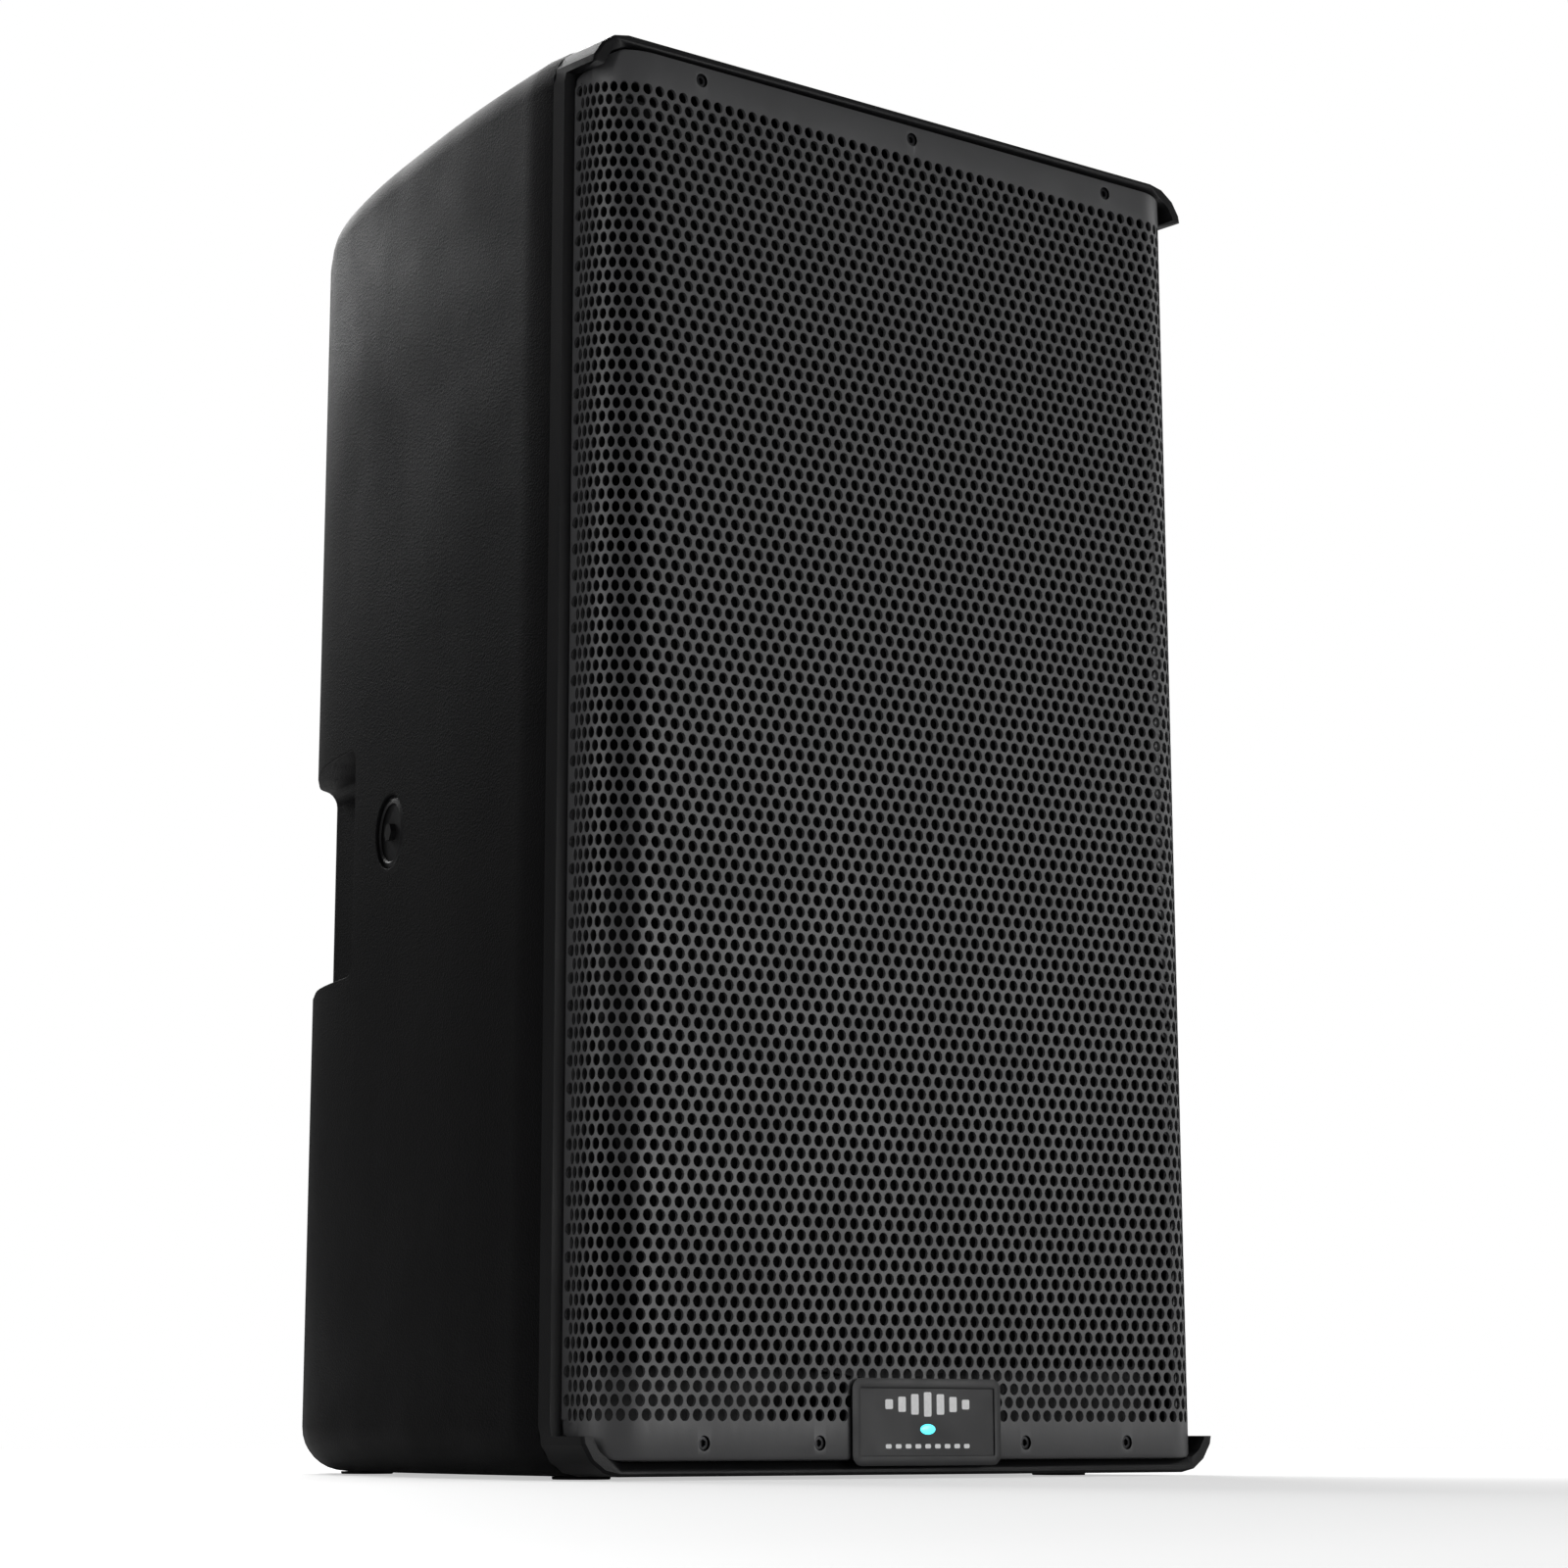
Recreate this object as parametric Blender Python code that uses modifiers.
"""A 12-inch two-way powered loudspeaker, as an assembly of separate named solids.

Metres, +Z up. +X is to the right when facing the grille, the front faces -Y, and the origin is
on the floor under the middle of the whole object. Depths along the cabinet are given behind the
flat front of the grille, and behind() turns one into a Y coordinate.
"""
import bmesh
import bpy
from math import cos, pi, radians, sin
from mathutils import Matrix

# ---- driving dimensions -------------------------------------------------------------------
WIDTH = 0.356
HEIGHT = 0.602
DEPTH = 0.350
GAP = 0.0003              # between solids that touch on the real object
WALL = 0.005              # moulded cabinet wall
FOOT_THICK = 0.0015       # the feet lift the cabinet by this much
EDGE_ROUND = 0.020        # fillet around the top and bottom of the cabinet

BADGE_PROUD = 0.002
GRILLE_FRONT = -DEPTH / 2 + BADGE_PROUD
RIM_FRONT = 0.0040        # the rim's top and bottom stand just behind the grille's face
JOINT_PLANE = 0.0330      # depth of the joint between baffle and rear shell
RIM_WALL = 0.0055
SIDE_RIM_FRONT = 0.0240   # the rim's sides stand further back than its top and bottom
CORNER_REACH = 0.0165     # height of the corners where the rim comes forward again
BACK = DEPTH - BADGE_PROUD

# half of the cabinet's plan: distance from the middle, depth
PLAN_HALF = [(0.178, 0.048), (0.168, 0.110), (0.154, 0.175), (0.139, 0.235),
             (0.122, 0.285), (0.102, 0.321), (0.088, 0.341), (0.078, BACK)]

SHEET = 0.0015            # perforated steel of the grille
GRILLE_FLAT = 0.147       # half width of its flat front
GRILLE_BEND = 0.025       # radius of its side wraps
BEND_ANGLE = radians(58)
GRILLE_BOTTOM = 0.0075
GRILLE_TOP = 0.5955
GRILLE_BACK = 0.0260
GRILLE_CORNER = 0.0140
BAND_MIDDLE = 0.0070      # from the sheet's end to its screws
TOP_SCREW_Z = GRILLE_TOP - BAND_MIDDLE
BOTTOM_SCREW_Z = GRILLE_BOTTOM + BAND_MIDDLE
TOP_SCREWS = (-0.122, 0.0, 0.122)
BOTTOM_SCREWS = (-0.119, -0.058, 0.058, 0.119)

BADGE_SIZE = (0.0790, 0.0120, 0.0310)
BADGE_CENTRE_Z = 0.0230
LED_SIZE = (0.0090, 0.0040, 0.0048)

PLATE_FRONT = 0.0300      # the baffle board that carries the drivers
PLATE_THICK = 0.0080
WOOFER_Z = 0.1950
WOOFER_RADIUS = 0.1550
HORN_Z = 0.4720
HORN_RADIUS = 0.0980
PORT_X = 0.1320
PORT_Z = 0.4000
PORT_RADIUS = 0.0220

PANEL_Z = 0.3100
PANEL_WINDOW = (0.1320, 0.4400)
PANEL_SIZE = (0.1410, 0.4490)
PANEL_BACK = 0.3350       # depth of the well that the panel closes
PANEL_THICK = 0.0030
PANEL_FACE = PANEL_BACK - GAP

HANDLE_Z = 0.2730         # side grips
HANDLE_HALF = 0.0520
RIG_DEPTH = 0.1870
RIG_Z = 0.2800
RIG_TILT = radians(14)
RIG_RADIUS = 0.0165
TOP_POCKET = (0.1500, 0.0850, 0.0440)
TOP_POCKET_DEPTH = 0.1730
POLE_BLOCK = (0.0640, 0.1000, 0.0950)
POLE_DEPTH = 0.1790
POLE_RADIUS = 0.0180
POLE_TILT = radians(7.5)

UPRIGHT = (pi / 2, 0, 0)            # turns a flat outline to face the front
SIDEWAYS = (pi / 2, 0, pi / 2)      # or to face the side


def behind(depth):
    """Y coordinate of a depth behind the grille's front plane."""
    return GRILLE_FRONT + depth


# ---- scene, collections and materials -----------------------------------------------------
for old in list(bpy.data.objects):
    bpy.data.objects.remove(old)

PARTS = bpy.data.collections.new("powered_loudspeaker")
CUTTERS = bpy.data.collections.new("cutters")
bpy.context.scene.collection.children.link(PARTS)
bpy.context.scene.collection.children.link(CUTTERS)

FINISHES = {
    "cabinet_plastic": ((0.012, 0.012, 0.013), 0.62, 0.0),
    "trim_plastic": ((0.022, 0.022, 0.023), 0.45, 0.0),
    "grille_paint": ((0.085, 0.085, 0.088), 0.55, 0.2),
    "foam": ((0.006, 0.006, 0.006), 0.95, 0.0),
    "screw_steel": ((0.05, 0.05, 0.05), 0.35, 0.9),
    "led_lens": ((0.10, 0.75, 0.80), 0.20, 0.0),
    "paper_cone": ((0.020, 0.020, 0.020), 0.80, 0.0),
    "surround_rubber": ((0.012, 0.012, 0.012), 0.60, 0.0),
    "cast_frame": ((0.030, 0.030, 0.032), 0.50, 0.6),
    "plated_steel": ((0.55, 0.55, 0.56), 0.35, 1.0),
    "magnet_ferrite": ((0.06, 0.06, 0.06), 0.70, 0.0),
    "coil_copper": ((0.72, 0.38, 0.20), 0.35, 1.0),
    "titanium": ((0.45, 0.44, 0.43), 0.40, 1.0),
    "panel_paint": ((0.018, 0.018, 0.020), 0.50, 0.4),
    "heatsink_metal": ((0.03, 0.03, 0.03), 0.45, 0.8),
    "board_green": ((0.02, 0.16, 0.07), 0.50, 0.0),
    "display_glass": ((0.02, 0.05, 0.09), 0.08, 0.0),
    "knob_rubber": ((0.03, 0.03, 0.03), 0.75, 0.0),
    "connector_black": ((0.02, 0.02, 0.02), 0.35, 0.0),
}


def finish(name):
    """The material of that name, made the first time it is asked for."""
    found = bpy.data.materials.get(name)
    if found:
        return found
    colour, roughness, metallic = FINISHES[name]
    made = bpy.data.materials.new(name)
    made.use_nodes = True
    shader = made.node_tree.nodes["Principled BSDF"]
    shader.inputs["Base Color"].default_value = (*colour, 1.0)
    shader.inputs["Roughness"].default_value = roughness
    shader.inputs["Metallic"].default_value = metallic
    return made


# ---- modelling helpers --------------------------------------------------------------------
def place(name, mesh, material, centre=(0, 0, 0), turn=(0, 0, 0)):
    """Put a mesh in the scene: a part when it has a material, else a cutter."""
    item = bpy.data.objects.new(name, mesh)
    item.location = centre
    item.rotation_euler = turn
    if material:
        PARTS.objects.link(item)
        mesh.materials.append(finish(material))
    else:
        CUTTERS.objects.link(item)
        item.hide_render = True
        item.display_type = "WIRE"
    return item


def from_bmesh(name, shape, smooth=False):
    """A mesh from a bmesh, shaded smooth where its edges are shallow."""
    mesh = bpy.data.meshes.new(name)
    shape.to_mesh(mesh)
    shape.free()
    if smooth:
        mesh.shade_smooth()
        mesh.set_sharp_from_angle(angle=radians(40))
    return mesh


def box(name, size, centre, material=None, bevel=0.0, turn=(0, 0, 0)):
    """A box of the given size, its edges chamfered or rounded by bevel."""
    shape = bmesh.new()
    bmesh.ops.create_cube(shape, size=1, matrix=Matrix.Diagonal((*size, 1)))
    item = place(name, from_bmesh(name, shape), material, centre, turn)
    if bevel:
        add_bevel(item, bevel, 2)
    return item


def rod(name, radius, length, centre, material=None, turn=(pi / 2, 0, 0), sides=24):
    """A cylinder along Y unless it is turned another way."""
    shape = bmesh.new()
    bmesh.ops.create_cone(shape, cap_ends=True, segments=sides, radius1=radius,
                          radius2=radius, depth=length)
    return place(name, from_bmesh(name, shape, True), material, centre, turn)


def turned(name, profile, centre, material=None, turn=(pi / 2, 0, 0), sides=28):
    """A solid of revolution from (radius, height) points, top to bottom down its outer side.

    Its local +Z faces the front of the cabinet. A profile that leaves the axis is a ring.
    """
    mesh = bpy.data.meshes.new(name)
    points = [(radius, 0.0, height) for radius, height in profile]
    edges = [(k, k + 1) for k in range(len(points) - 1)]
    if profile[0][0] > 0 or profile[-1][0] > 0:
        edges.append((len(points) - 1, 0))
    mesh.from_pydata(points, edges, [])
    item = place(name, mesh, material, centre, turn)
    screw = item.modifiers.new("turn", "SCREW")
    screw.steps = sides
    screw.render_steps = sides
    screw.use_merge_vertices = True
    screw.merge_threshold = 0.00001
    screw.use_smooth_shade = False
    return item


def outline(name, points, thickness, centre, material=None, turn=(0, 0, 0), holes=()):
    """A flat outline in its local XY plane, thickened along its local Z, as a mesh."""
    data = bpy.data.curves.new(name, "CURVE")
    data.dimensions = "2D"
    data.fill_mode = "BOTH"
    data.extrude = thickness / 2
    for loop in (points, *holes):
        spline = data.splines.new("POLY")
        spline.points.add(len(loop) - 1)
        for point, (across, along) in zip(spline.points, loop):
            point.co = (across, along, 0, 1)
        spline.use_cyclic_u = True
    guide = bpy.data.objects.new(name + "_guide", data)
    CUTTERS.objects.link(guide)
    bpy.context.view_layer.update()
    evaluated = guide.evaluated_get(bpy.context.evaluated_depsgraph_get())
    mesh = bpy.data.meshes.new_from_object(evaluated)
    bpy.data.objects.remove(guide)
    shape = bmesh.new()
    shape.from_mesh(mesh)
    bmesh.ops.remove_doubles(shape, verts=shape.verts, dist=0.00001)
    if not holes:
        bmesh.ops.dissolve_limit(shape, angle_limit=radians(0.5), verts=shape.verts,
                                 edges=shape.edges)
    bmesh.ops.recalc_face_normals(shape, faces=shape.faces)
    mesh.clear_geometry()
    mesh.materials.clear()
    shape.to_mesh(mesh)
    shape.free()
    return place(name, mesh, material, centre, turn)


def add_bevel(item, width, segments, angle=60):
    """Round or chamfer every edge sharper than the angle."""
    bevel = item.modifiers.new("edges", "BEVEL")
    bevel.width = width
    bevel.segments = segments
    bevel.limit_method = "ANGLE"
    bevel.angle_limit = radians(angle)
    return item


def combine(item, other, operation):
    """An exact Boolean of another object on an item."""
    change = item.modifiers.new(operation.lower(), "BOOLEAN")
    change.operation = operation
    change.solver = "EXACT"
    change.object = other
    return item


def cut(item, *cutters):
    """Take each cutter away from an item."""
    for cutter in cutters:
        combine(item, cutter, "DIFFERENCE")
    return item


def fuse(item, *others):
    """Join each helper solid to an item."""
    for other in others:
        combine(item, other, "UNION")
    return item


def mirrored(half):
    """A closed plan from the right half of an outline, front to back."""
    left = [(-across, along) for across, along in half]
    return half + left[::-1]


def arc(centre, radius, start, end, steps):
    """Points on an arc, angles in radians from +X."""
    angles = [start + (end - start) * k / steps for k in range(steps + 1)]
    return [(centre[0] + radius * cos(a), centre[1] + radius * sin(a)) for a in angles]


def rounded_rectangle(width, height, corner, steps=4):
    """Points around a rounded rectangle, anticlockwise."""
    across = width / 2 - corner
    along = height / 2 - corner
    points = []
    for index, (sx, sy) in enumerate(((1, 1), (-1, 1), (-1, -1), (1, -1))):
        start = index * pi / 2
        points += arc((sx * across, sy * along), corner, start, start + pi / 2, steps)
    return points


# ---- cabinet ------------------------------------------------------------------------------
def plan(inset, front):
    """The cabinet's plan, its sides and back moved in by inset, from a front depth."""
    half = [(PLAN_HALF[0][0] - inset, behind(front))]
    half += [(across - inset, behind(min(along, BACK - inset))) for across, along in PLAN_HALF]
    return mirrored(half)


def block_between(name, inset, front, bottom, top, rounding):
    """A rounded block on the cabinet's plan, for its outside and its hollow."""
    middle = (bottom + top) / 2
    item = outline(name, plan(inset, front), top - bottom, (0, 0, middle))
    return add_bevel(item, rounding, 4)


def grip_plan(side, margin):
    """Plan of a side grip: a deep front end for the fingers, shallower to the back."""
    points = [(0.190, 0.229 - margin), (0.106 - margin, 0.235 - margin),
              (0.088 - margin, 0.285), (0.073 - margin, BACK + 0.002),
              (0.073 - margin, BACK + 0.030), (0.190, BACK + 0.030)]
    return [(side * across, behind(along)) for across, along in points]


def grip_block(name, side, margin):
    """The space of a side grip, grown by margin for its moulded walls."""
    height = 2 * (HANDLE_HALF + margin)
    item = outline(name, grip_plan(side, margin), height, (0, 0, HANDLE_Z))
    return add_bevel(item, 0.010, 2, 80)


def rig_place(side, inward):
    """Centre and turn of a side rigging point, a distance in from the wall."""
    across = 0.1515 - inward * cos(RIG_TILT)
    along = RIG_DEPTH - inward * sin(RIG_TILT)
    return (side * across, behind(along), RIG_Z), (0, pi / 2, side * RIG_TILT)


def side_name(side):
    return "left" if side < 0 else "right"


def make_rear_shell():
    """The moulded rear of the cabinet: sides, top, bottom, back, grips and wells."""
    bottom = FOOT_THICK
    shell = outline("rear_shell", plan(0, 0.002), HEIGHT - bottom,
                    (0, 0, (HEIGHT + bottom) / 2), "cabinet_plastic")
    add_bevel(shell, EDGE_ROUND, 4)
    hollow = block_between("hollow", WALL, -0.01, bottom + WALL, HEIGHT - WALL,
                           EDGE_ROUND - WALL)
    well = box("well_wall", (PANEL_WINDOW[0] + 0.010, 0.030, PANEL_WINDOW[1] + 0.010),
               (0, behind(PANEL_BACK + 0.015), PANEL_Z))
    top_wall = box("handle_wall", [size + 2 * 0.004 for size in TOP_POCKET],
                   (0, behind(TOP_POCKET_DEPTH), HEIGHT - TOP_POCKET[2] / 2))
    cut(hollow, well, top_wall)
    for side in (-1, 1):
        cut(hollow, grip_block("grip_wall_" + side_name(side), side, 0.004))
        centre, turn = rig_place(side, 0.0)
        cut(hollow, rod("rig_wall_" + side_name(side), RIG_RADIUS + 0.004, 0.030, centre,
                        turn=turn))
    cut(shell, hollow)
    cut(shell, box("front_off", (0.5, 0.1, 0.8), (0, behind(JOINT_PLANE + GAP) - 0.05, 0.3)))
    cut(shell, box("well_space", (PANEL_WINDOW[0], 0.040, PANEL_WINDOW[1]),
                   (0, behind(PANEL_BACK + 0.005), PANEL_Z)))
    cut(shell, box("handle_space", TOP_POCKET,
                   (0, behind(TOP_POCKET_DEPTH), HEIGHT - TOP_POCKET[2] / 2 + 0.001)))
    cut(shell, box("pole_space", [size + 2 * GAP for size in POLE_BLOCK[:2]] + [0.030],
                   (0, behind(POLE_DEPTH), bottom)))
    for side in (-1, 1):
        cut(shell, grip_block("grip_space_" + side_name(side), side, 0.0))
        centre, turn = rig_place(side, 0.0)
        cut(shell, rod("rig_space_" + side_name(side), RIG_RADIUS, 0.016, centre, turn=turn))
    return shell


def make_front_baffle():
    """The moulded front: a rim around the grille and the board that carries the drivers."""
    bottom = FOOT_THICK
    height = HEIGHT - bottom
    middle = (HEIGHT + bottom) / 2
    rim_depth = JOINT_PLANE - RIM_FRONT
    baffle = outline("front_baffle", rounded_rectangle(WIDTH, height, EDGE_ROUND), rim_depth,
                     (0, behind(RIM_FRONT + rim_depth / 2), middle), "trim_plastic", UPRIGHT)
    add_bevel(baffle, 0.0012, 1)
    inner = 2 * (WALL + 0.001)
    board = outline("board", rounded_rectangle(WIDTH - inner, height - inner, EDGE_ROUND),
                    PLATE_THICK, (0, behind(PLATE_FRONT + PLATE_THICK / 2), middle), None, UPRIGHT)
    recess_size = (WIDTH - 2 * RIM_WALL, height - 2 * RIM_WALL, EDGE_ROUND - RIM_WALL)
    recess = outline("recess", rounded_rectangle(*recess_size), PLATE_FRONT,
                     (0, behind(PLATE_FRONT / 2), middle), None, UPRIGHT)
    fuse(baffle, board)
    cut(baffle, recess)
    ledge_depth = PLATE_FRONT - 0.003
    for label, z in (("top", TOP_SCREW_Z), ("bottom", BOTTOM_SCREW_Z)):
        fuse(baffle, box(label + "_ledge", (0.290, ledge_depth, 0.0100),
                         (0, behind(0.0035 + ledge_depth / 2), z)))
    cut(baffle, box("side_relief", (WIDTH + 0.010, SIDE_RIM_FRONT, HEIGHT - 2 * CORNER_REACH),
                    (0, behind(SIDE_RIM_FRONT / 2), middle)))
    cut(baffle, box("badge_room", (0.084, 0.0110, 0.040), (0, behind(0.0050), 0.0272)))
    for label, x, z in screw_places():
        cut(baffle, rod("pilot_" + label, 0.0022, 0.0200, (x, behind(0.0100), z), sides=12))
    cut(baffle, rod("woofer_hole", 0.1410, 0.030, (0, behind(PLATE_FRONT), WOOFER_Z), sides=48))
    cut(baffle, rod("horn_hole", 0.0925, 0.030, (0, behind(PLATE_FRONT), HORN_Z), sides=40))
    for side in (-1, 1):
        cut(baffle, rod("port_hole_" + side_name(side), PORT_RADIUS + 0.0029, 0.030,
                        (side * PORT_X, behind(PLATE_FRONT), PORT_Z)))
    return baffle


def screw_places():
    """Label, x and z of each screw that holds the grille."""
    places = [("top_%d" % (k + 1), x, TOP_SCREW_Z) for k, x in enumerate(TOP_SCREWS)]
    places += [("bottom_%d" % (k + 1), x, BOTTOM_SCREW_Z) for k, x in enumerate(BOTTOM_SCREWS)]
    return places


def grille_plan(inset, front, back):
    """Plan of the grille: flat front, a bend at each side and flanges to the back."""
    side = GRILLE_FLAT + GRILLE_BEND * sin(BEND_ANGLE) + 0.0013 - inset
    start = -pi / 2
    bend = arc((GRILLE_FLAT, GRILLE_BEND), GRILLE_BEND - front, start, start + BEND_ANGLE, 6)
    shoulder = bend[-1][1] + 0.0021
    half = bend + [(side, shoulder), (side, back)]
    return [(across, behind(along)) for across, along in mirrored(half)]


def make_grille():
    """The grille as a plain folded sheet, before its perforation."""
    height = GRILLE_TOP - GRILLE_BOTTOM
    middle = (GRILLE_TOP + GRILLE_BOTTOM) / 2
    grille = outline("grille", grille_plan(0, 0, GRILLE_BACK), height, (0, 0, middle),
                     "grille_paint")
    inside = outline("grille_inside", grille_plan(SHEET, SHEET, GRILLE_BACK + 0.010),
                     height - 2 * SHEET, (0, 0, middle))
    for item, inset in ((grille, 0), (inside, SHEET)):
        size = (0.3400 - 2 * inset, height - 2 * inset, GRILLE_CORNER - inset)
        frame = outline(item.name + "_corners", rounded_rectangle(*size), 0.100,
                        (0, behind(0.020), middle), None, UPRIGHT)
        combine(item, frame, "INTERSECT")
    cut(grille, inside)
    cut(grille, box("badge_notch", (0.0830, 0.060, 0.0800), (0, behind(0.010), 0.0)))
    for label, x, z in screw_places():
        cut(grille, rod("dimple_" + label, 0.0038, 0.006, (x, behind(0), z), sides=16))
    return grille


def driver(name, rings, x, z, material, sides=28):
    """A turned solid on an axis from front to back, from (radius, depth) points.

    The points run over its front from the middle outwards, and back over its rear.
    """
    profile = [(radius, -depth) for radius, depth in rings]
    return turned(name, profile, (x, behind(0), z), material, sides=sides)


def make_front_trim():
    """Foam, badge, status light and the screws of the grille."""
    box("grille_foam", (0.288, 0.003, 0.530), (0, behind(0.0038), 0.3120), "foam")
    badge_y = behind(BADGE_SIZE[1] / 2 - BADGE_PROUD)
    badge = box("badge_plate", BADGE_SIZE, (0, badge_y, BADGE_CENTRE_Z), "trim_plastic", 0.002)
    lens_z = BADGE_CENTRE_Z - 0.0030
    window = rod("led_window", 0.5, 1.0, (0, behind(-0.0015), lens_z))
    window.data.transform(Matrix.Diagonal((LED_SIZE[0] + 2 * GAP, LED_SIZE[2] + 2 * GAP,
                                           2 * LED_SIZE[1], 1)))
    cut(badge, window)
    lens = rod("status_led", 0.5, 1.0, (0, behind(LED_SIZE[1] / 2 - BADGE_PROUD), lens_z),
               "led_lens")
    lens.data.transform(Matrix.Diagonal((LED_SIZE[0], LED_SIZE[2], LED_SIZE[1], 1)))
    for label, x, z in screw_places():
        driver("grille_screw_" + label,
               [(0, 0.0004), (0.0034, 0.0004), (0.0018, 0.0022), (0.0018, 0.0150), (0, 0.0150)],
               x, z, "screw_steel", 12)


# ---- low-frequency driver -----------------------------------------------------------------
def make_woofer():
    """Frame, surround, cone, dust cap, spider, coil and the three pieces of the motor."""
    frame = driver("woofer_frame", [
        (0.1345, 0.0257), (WOOFER_RADIUS, 0.0257), (WOOFER_RADIUS, 0.0297), (0.1400, 0.0297),
        (0.1380, 0.0450), (0.0920, 0.0980), (0.0720, 0.0990), (0.0460, 0.0990),
        (0.0460, 0.0955), (0.0880, 0.0945), (0.1340, 0.0430), (0.1345, 0.0300)],
        0, WOOFER_Z, "cast_frame")
    for k in range(6):
        turn = k * pi / 3
        centre = (0.112 * cos(turn), behind(0.070), WOOFER_Z + 0.112 * sin(turn))
        cut(frame, box("basket_window_%d" % (k + 1), (0.070, 0.034, 0.062), centre,
                       turn=(0, -turn, 0)))
    roll = arc((0.1230, 0.0275), 0.0080, pi, 2 * pi, 6)
    under = arc((0.1230, 0.0283), 0.0080, 2 * pi, pi, 6)
    driver("woofer_surround", [(0.1125, 0.0275)] + roll + [(0.1340, 0.0275), (0.1340, 0.0283)]
           + under + [(0.1125, 0.0283)], 0, WOOFER_Z, "surround_rubber")
    driver("woofer_cone", [(0.0340, 0.0735), (0.0700, 0.0520), (0.1118, 0.0288),
                           (0.1118, 0.0300), (0.0700, 0.0533), (0.0340, 0.0750)],
           0, WOOFER_Z, "paper_cone")
    dome = [(0.0470 * sin(k * pi / 10), 0.0640 - 0.0140 * cos(k * pi / 10)) for k in range(6)]
    under_dome = [(radius * 0.985, depth + 0.0010) for radius, depth in dome[::-1]]
    driver("woofer_dust_cap", dome + under_dome, 0, WOOFER_Z, "paper_cone")
    folds = 6
    reach = [0.0345 + (0.0915 - 0.0345) * k / folds for k in range(folds + 1)]
    ripple = [(radius, 0.0860 + 0.0022 * (k % 2)) for k, radius in enumerate(reach)]
    driver("woofer_spider", ripple + [(radius, depth + 0.0007) for radius, depth in ripple[::-1]],
           0, WOOFER_Z, "foam", 24)
    driver("voice_coil", [(0.0326, 0.0745), (0.0335, 0.0745), (0.0335, 0.1150),
                          (0.0326, 0.1150)], 0, WOOFER_Z, "coil_copper", 24)
    driver("woofer_top_plate", [(0.0360, 0.0993), (0.0700, 0.0993), (0.0700, 0.1073),
                                (0.0360, 0.1073)], 0, WOOFER_Z, "plated_steel")
    driver("woofer_magnet", [(0.0400, 0.1076), (0.0780, 0.1076), (0.0780, 0.1283),
                             (0.0400, 0.1283)], 0, WOOFER_Z, "magnet_ferrite")
    driver("woofer_pole_piece", [(0, 0.0985), (0.0310, 0.0985), (0.0310, 0.1286),
                                 (0.0700, 0.1286), (0.0700, 0.1366), (0, 0.1366)],
           0, WOOFER_Z, "plated_steel")


# ---- high-frequency driver and ports ------------------------------------------------------
def make_horn():
    """Waveguide, compression driver, its cover and diaphragm, and the two bass ports."""
    driver("horn_waveguide", [
        (0.0180, 0.1000), (0.0230, 0.0850), (0.0360, 0.0650), (0.0580, 0.0460),
        (0.0880, 0.0262), (0.0920, 0.0257), (HORN_RADIUS, 0.0257), (HORN_RADIUS, 0.0297),
        (0.0900, 0.0297), (0.0610, 0.0490), (0.0390, 0.0680), (0.0260, 0.0870),
        (0.0320, 0.0970), (0.0320, 0.1000)], 0, HORN_Z, "trim_plastic")
    driver("compression_driver", [(0.0190, 0.1003), (0.0450, 0.1003), (0.0450, 0.1380),
                                  (0.0240, 0.1380), (0.0240, 0.1200), (0.0190, 0.1120)],
           0, HORN_Z, "cast_frame")
    driver("driver_rear_cover", [(0, 0.1383), (0.0400, 0.1383), (0.0400, 0.1500),
                                 (0.0360, 0.1540), (0, 0.1540)], 0, HORN_Z, "cast_frame")
    dome = [(0.0225 * sin(k * pi / 8), 0.1320 - 0.0070 * cos(k * pi / 8)) for k in range(5)]
    under = [(radius * 0.98, depth + 0.0004) for radius, depth in dome[::-1]]
    driver("hf_diaphragm", dome + under, 0, HORN_Z, "titanium", 24)
    for side in (-1, 1):
        driver("port_tube_" + side_name(side),
               [(PORT_RADIUS, 0.0277), (0.0280, 0.0277), (0.0280, 0.0297), (0.0245, 0.0297),
                (0.0245, 0.1300), (PORT_RADIUS, 0.1300)],
               side * PORT_X, PORT_Z, "trim_plastic", 24)


# ---- amplifier and rear panel -------------------------------------------------------------
DISPLAY = (0.0200, 0.4960)
DISPLAY_SIZE = (0.0560, 0.0320)
SELECT = (-0.0400, 0.5000)
BUTTONS = {"back_button": (-0.0290, 0.4735), "enter_button": (-0.0510, 0.4735)}
BUTTON_SIZE = (0.0090, 0.0060)
GAINS = {"gain_knob_a": 0.0420, "gain_knob_b": 0.0, "gain_knob_c": -0.0420}
GAIN_Z = 0.4380
INPUTS = {"input_a": 0.0420, "input_b": 0.0020}
INPUT_Z = 0.3920
MINI_X = -0.0380
OUTPUTS = {"output_a_jack": 0.0420, "output_b_jack": 0.0020, "output_mix_jack": -0.0380}
OUTPUT_Z = 0.3460
SINK_Z = 0.2620
SINK_WINDOW = (0.1160, 0.1000)
FAN = (-0.0300, 0.1500)
FAN_RADIUS = 0.0270
FAN_DEPTH = 0.3220
INLET = (0.0370, 0.1300)
ROCKER = (0.0370, 0.1700)
ROCKER_PIVOT = 0.3325
SHAFT_HOLE = 0.0034
JACK_BODY = 0.0110
JACK_BORE = 0.0092


def ring(x, z, radius, steps=16):
    """Points of a round hole in the panel."""
    return arc((x, z - PANEL_Z), radius, 0, 2 * pi * (steps - 1) / steps, steps - 1)


def slot(x, z, width, height):
    """Points of a square hole in the panel."""
    half_w, half_h = width / 2, height / 2
    low, high = z - PANEL_Z - half_h, z - PANEL_Z + half_h
    return [(x - half_w, low), (x + half_w, low), (x + half_w, high), (x - half_w, high)]


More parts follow.
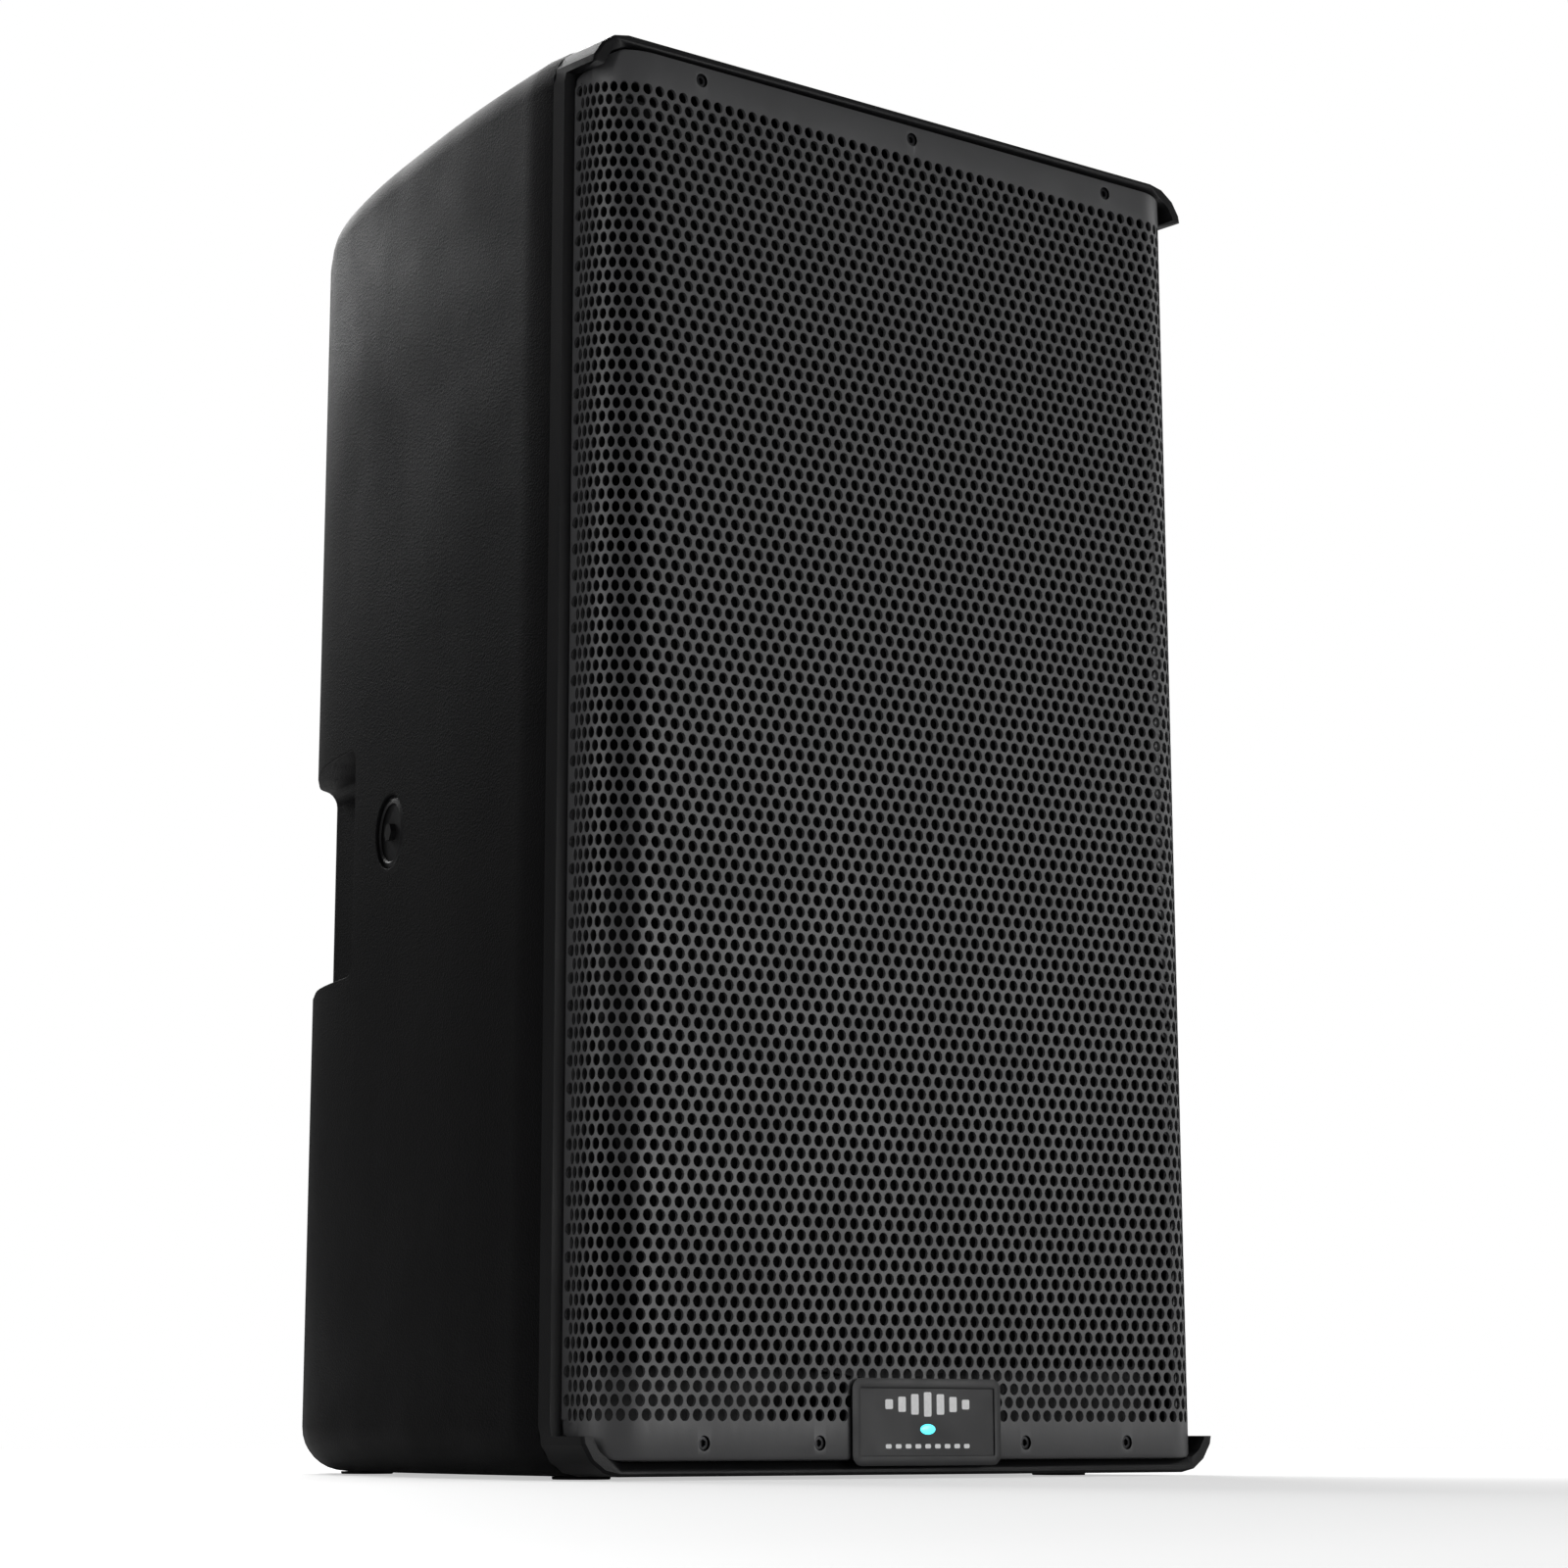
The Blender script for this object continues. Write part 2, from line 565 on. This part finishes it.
def make_panel():
    """The metal rear panel and everything that shows on it."""
    width, height = PANEL_SIZE
    holes = [slot(*DISPLAY, DISPLAY_SIZE[0] + 2 * GAP, DISPLAY_SIZE[1] + 2 * GAP),
             ring(*SELECT, SHAFT_HOLE), ring(MINI_X, INPUT_Z, 0.0048),
             slot(0, SINK_Z, SINK_WINDOW[0] + 2 * GAP, SINK_WINDOW[1] + 2 * GAP),
             ring(*FAN, FAN_RADIUS, 24), slot(*INLET, 0.0276, 0.0206),
             slot(*ROCKER, 0.0132, 0.0240)]
    holes += [slot(*spot, BUTTON_SIZE[0] + 0.0008, BUTTON_SIZE[1] + 0.0008)
              for spot in BUTTONS.values()]
    holes += [ring(x, GAIN_Z, SHAFT_HOLE) for x in GAINS.values()]
    holes += [ring(x, INPUT_Z, JACK_BODY + 0.0004, 20) for x in INPUTS.values()]
    holes += [ring(x, OUTPUT_Z, JACK_BODY + 0.0004, 20) for x in OUTPUTS.values()]
    outline("amp_panel", slot(0, PANEL_Z, width, height), PANEL_THICK,
            (0, behind(PANEL_FACE - PANEL_THICK / 2), PANEL_Z), "panel_paint", UPRIGHT, holes)
    box("display_lens", (DISPLAY_SIZE[0], 0.0036, DISPLAY_SIZE[1]),
        (DISPLAY[0], behind(PANEL_FACE - 0.0012), DISPLAY[1]), "display_glass")
    for name, x in GAINS.items():
        driver(name, [(0, 0.3290), (0.0030, 0.3290), (0.0030, 0.3352), (0.0080, 0.3352),
                      (0.0076, 0.3430), (0.0068, 0.3450), (0, 0.3450)],
               x, GAIN_Z, "knob_rubber", 16)
    driver("encoder_shaft", [(0, 0.3240), (0.0060, 0.3240), (0.0060, 0.3290),
                             (0.0030, 0.3290), (0.0030, 0.3440), (0, 0.3440)],
           *SELECT, "plated_steel", 16)
    driver("select_knob", [(0, 0.3444), (0.0034, 0.3444), (0.0034, 0.3366), (0.0110, 0.3366),
                           (0.0106, 0.3450), (0.0096, 0.3468), (0, 0.3468)],
           *SELECT, "knob_rubber", 24)
    for name, (x, z) in BUTTONS.items():
        box(name, (BUTTON_SIZE[0], 0.0080, BUTTON_SIZE[1]),
            (x, behind(PANEL_FACE - 0.0005), z), "knob_rubber", 0.0008)


def make_jack(name, x, z, latch_name=None):
    """A chassis socket: a square flange, a round body behind it and a blind bore."""
    front = PANEL_FACE + GAP
    jack = box(name, (0.0260, 0.0022, 0.0310), (x, behind(front + 0.0011), z), "connector_black")
    fuse(jack, rod(name + "_body", JACK_BODY, 0.0210, (x, behind(front - 0.0095), z)))
    cut(jack, rod(name + "_bore", JACK_BORE, 0.0200, (x, behind(front - 0.0040), z)))
    if latch_name:
        latch_z = z + 0.0122
        cut(jack, box(name + "_slot", (0.0070, 0.0100, 0.0040),
                      (x, behind(front + 0.0040), latch_z)))
        box(latch_name, (0.0064, 0.0030, 0.0034), (x, behind(front + 0.0023), latch_z),
            "plated_steel")
    return jack


def make_connectors():
    """Sockets, the mains inlet and the power switch."""
    for name, x in INPUTS.items():
        make_jack(name + "_jack", x, INPUT_Z, name + "_latch")
    for name, x in OUTPUTS.items():
        make_jack(name, x, OUTPUT_Z)
    driver("aux_mini_jack", [(0, 0.3200), (0.0045, 0.3200), (0.0045, 0.3350), (0.0062, 0.3350),
                             (0.0062, 0.3372), (0.0018, 0.3372), (0.0018, 0.3230), (0, 0.3230)],
           MINI_X, INPUT_Z, "connector_black", 16)
    front = PANEL_FACE + GAP
    x, z = INLET
    inlet = box("mains_inlet", (0.0330, 0.0022, 0.0260), (x, behind(front + 0.0011), z),
                "connector_black")
    fuse(inlet, box("inlet_body", (0.0270, 0.0230, 0.0200), (x, behind(front - 0.0105), z)))
    cut(inlet, box("inlet_space", (0.0230, 0.0230, 0.0160), (x, behind(front - 0.0060), z)))
    shape = [(-0.0030, -0.0100), (-0.0030, 0.0100), (0.0065, 0.0100), (0.0055, 0.0),
             (0.0085, -0.0100)]
    outline("power_rocker", shape, 0.0120, (ROCKER[0], behind(ROCKER_PIVOT), ROCKER[1]),
            "connector_black", SIDEWAYS)


def make_cooling():
    """Heatsink, fan and the boards behind the panel."""
    width, height = SINK_WINDOW
    base = PANEL_FACE - PANEL_THICK - GAP
    fins = 13
    fin = 0.0024
    tip = behind(0.3440)
    pitch = (width - fin) / (fins - 1)
    comb = [(-width / 2, behind(base - 0.0020))]
    for k in range(fins):
        left = -width / 2 + k * pitch
        comb += [(left, tip), (left + fin, tip)]
        if k < fins - 1:
            comb += [(left + fin, behind(base)), (left + pitch, behind(base))]
    comb.append((width / 2, behind(base - 0.0020)))
    sink = outline("heatsink", comb, height, (0, 0, SINK_Z), "heatsink_metal")
    fuse(sink, box("sink_base", (width + 0.010, 0.0040, height + 0.010),
                   (0, behind(base - 0.0020), SINK_Z)))
    x, z = FAN
    fan_y = behind(FAN_DEPTH)
    frame = box("fan_frame", (0.0600, 0.0150, 0.0600), (x, fan_y, z), "connector_black")
    cut(frame, rod("fan_bore", 0.0286, 0.030, (x, fan_y, z), sides=32))
    rotor = rod("fan_rotor", 0.0110, 0.0110, (x, fan_y, z), "connector_black", sides=16)
    blades = 7
    for k in range(blades):
        turn = 2 * pi * k / blades
        centre = (x + 0.018 * cos(turn), fan_y, z + 0.018 * sin(turn))
        blade = box("fan_blade_%d" % (k + 1), (0.0170, 0.0012, 0.0110), centre)
        blade.rotation_euler = (radians(38), -turn, 0)
        fuse(rotor, blade)
    box("amp_board", (0.1200, 0.0016, 0.3200), (0, behind(0.3000), 0.3600), "board_green")
    driver("power_transformer", [(0.0120, 0.2620), (0.0300, 0.2620), (0.0340, 0.2660),
                                 (0.0340, 0.2920), (0.0300, 0.2960), (0.0120, 0.2960)],
           0, 0.2400, "magnet_ferrite", 24)


# ---- hardware -----------------------------------------------------------------------------
def make_hardware():
    """Carrying handle, pole sockets, rubber feet and the plugs of the rigging points."""
    bar_length = TOP_POCKET[0] - 2 * GAP
    box("top_handle", (bar_length, 0.0260, 0.0180),
        (0, behind(TOP_POCKET_DEPTH + 0.003), HEIGHT - 0.0110), "knob_rubber", 0.005)
    tall = POLE_BLOCK[2]
    low = FOOT_THICK + GAP
    pole = box("pole_cup", POLE_BLOCK, (0, behind(POLE_DEPTH), low + tall / 2), "trim_plastic")
    deep = tall - 0.010
    middle = low + deep / 2
    cut(pole, rod("straight_socket", POLE_RADIUS, deep,
                  (0, behind(POLE_DEPTH - 0.024), middle - 0.001), turn=(0, 0, 0)))
    cut(pole, rod("tilted_socket", POLE_RADIUS, deep + 0.010,
                  (0, behind(POLE_DEPTH + 0.022), middle - 0.007), turn=(-POLE_TILT, 0, 0)))
    for label, x, depth in (("front_left", -0.135, 0.060), ("front_right", 0.135, 0.060),
                            ("rear_left", -0.078, 0.300), ("rear_right", 0.078, 0.300)):
        thick = FOOT_THICK - GAP
        rod("foot_" + label, 0.0120, thick, (x, behind(depth), thick / 2), "knob_rubber",
            turn=(0, 0, 0))
    for side in (-1, 1):
        centre, turn = rig_place(side, 0.0055)
        rod("rigging_plug_" + side_name(side), RIG_RADIUS - GAP, 0.0044, centre, "trim_plastic",
            turn=turn)


make_rear_shell()
make_front_baffle()
make_grille()
make_front_trim()
make_woofer()
make_horn()
make_panel()
make_connectors()
make_cooling()
make_hardware()
print(len(PARTS.objects), "parts")
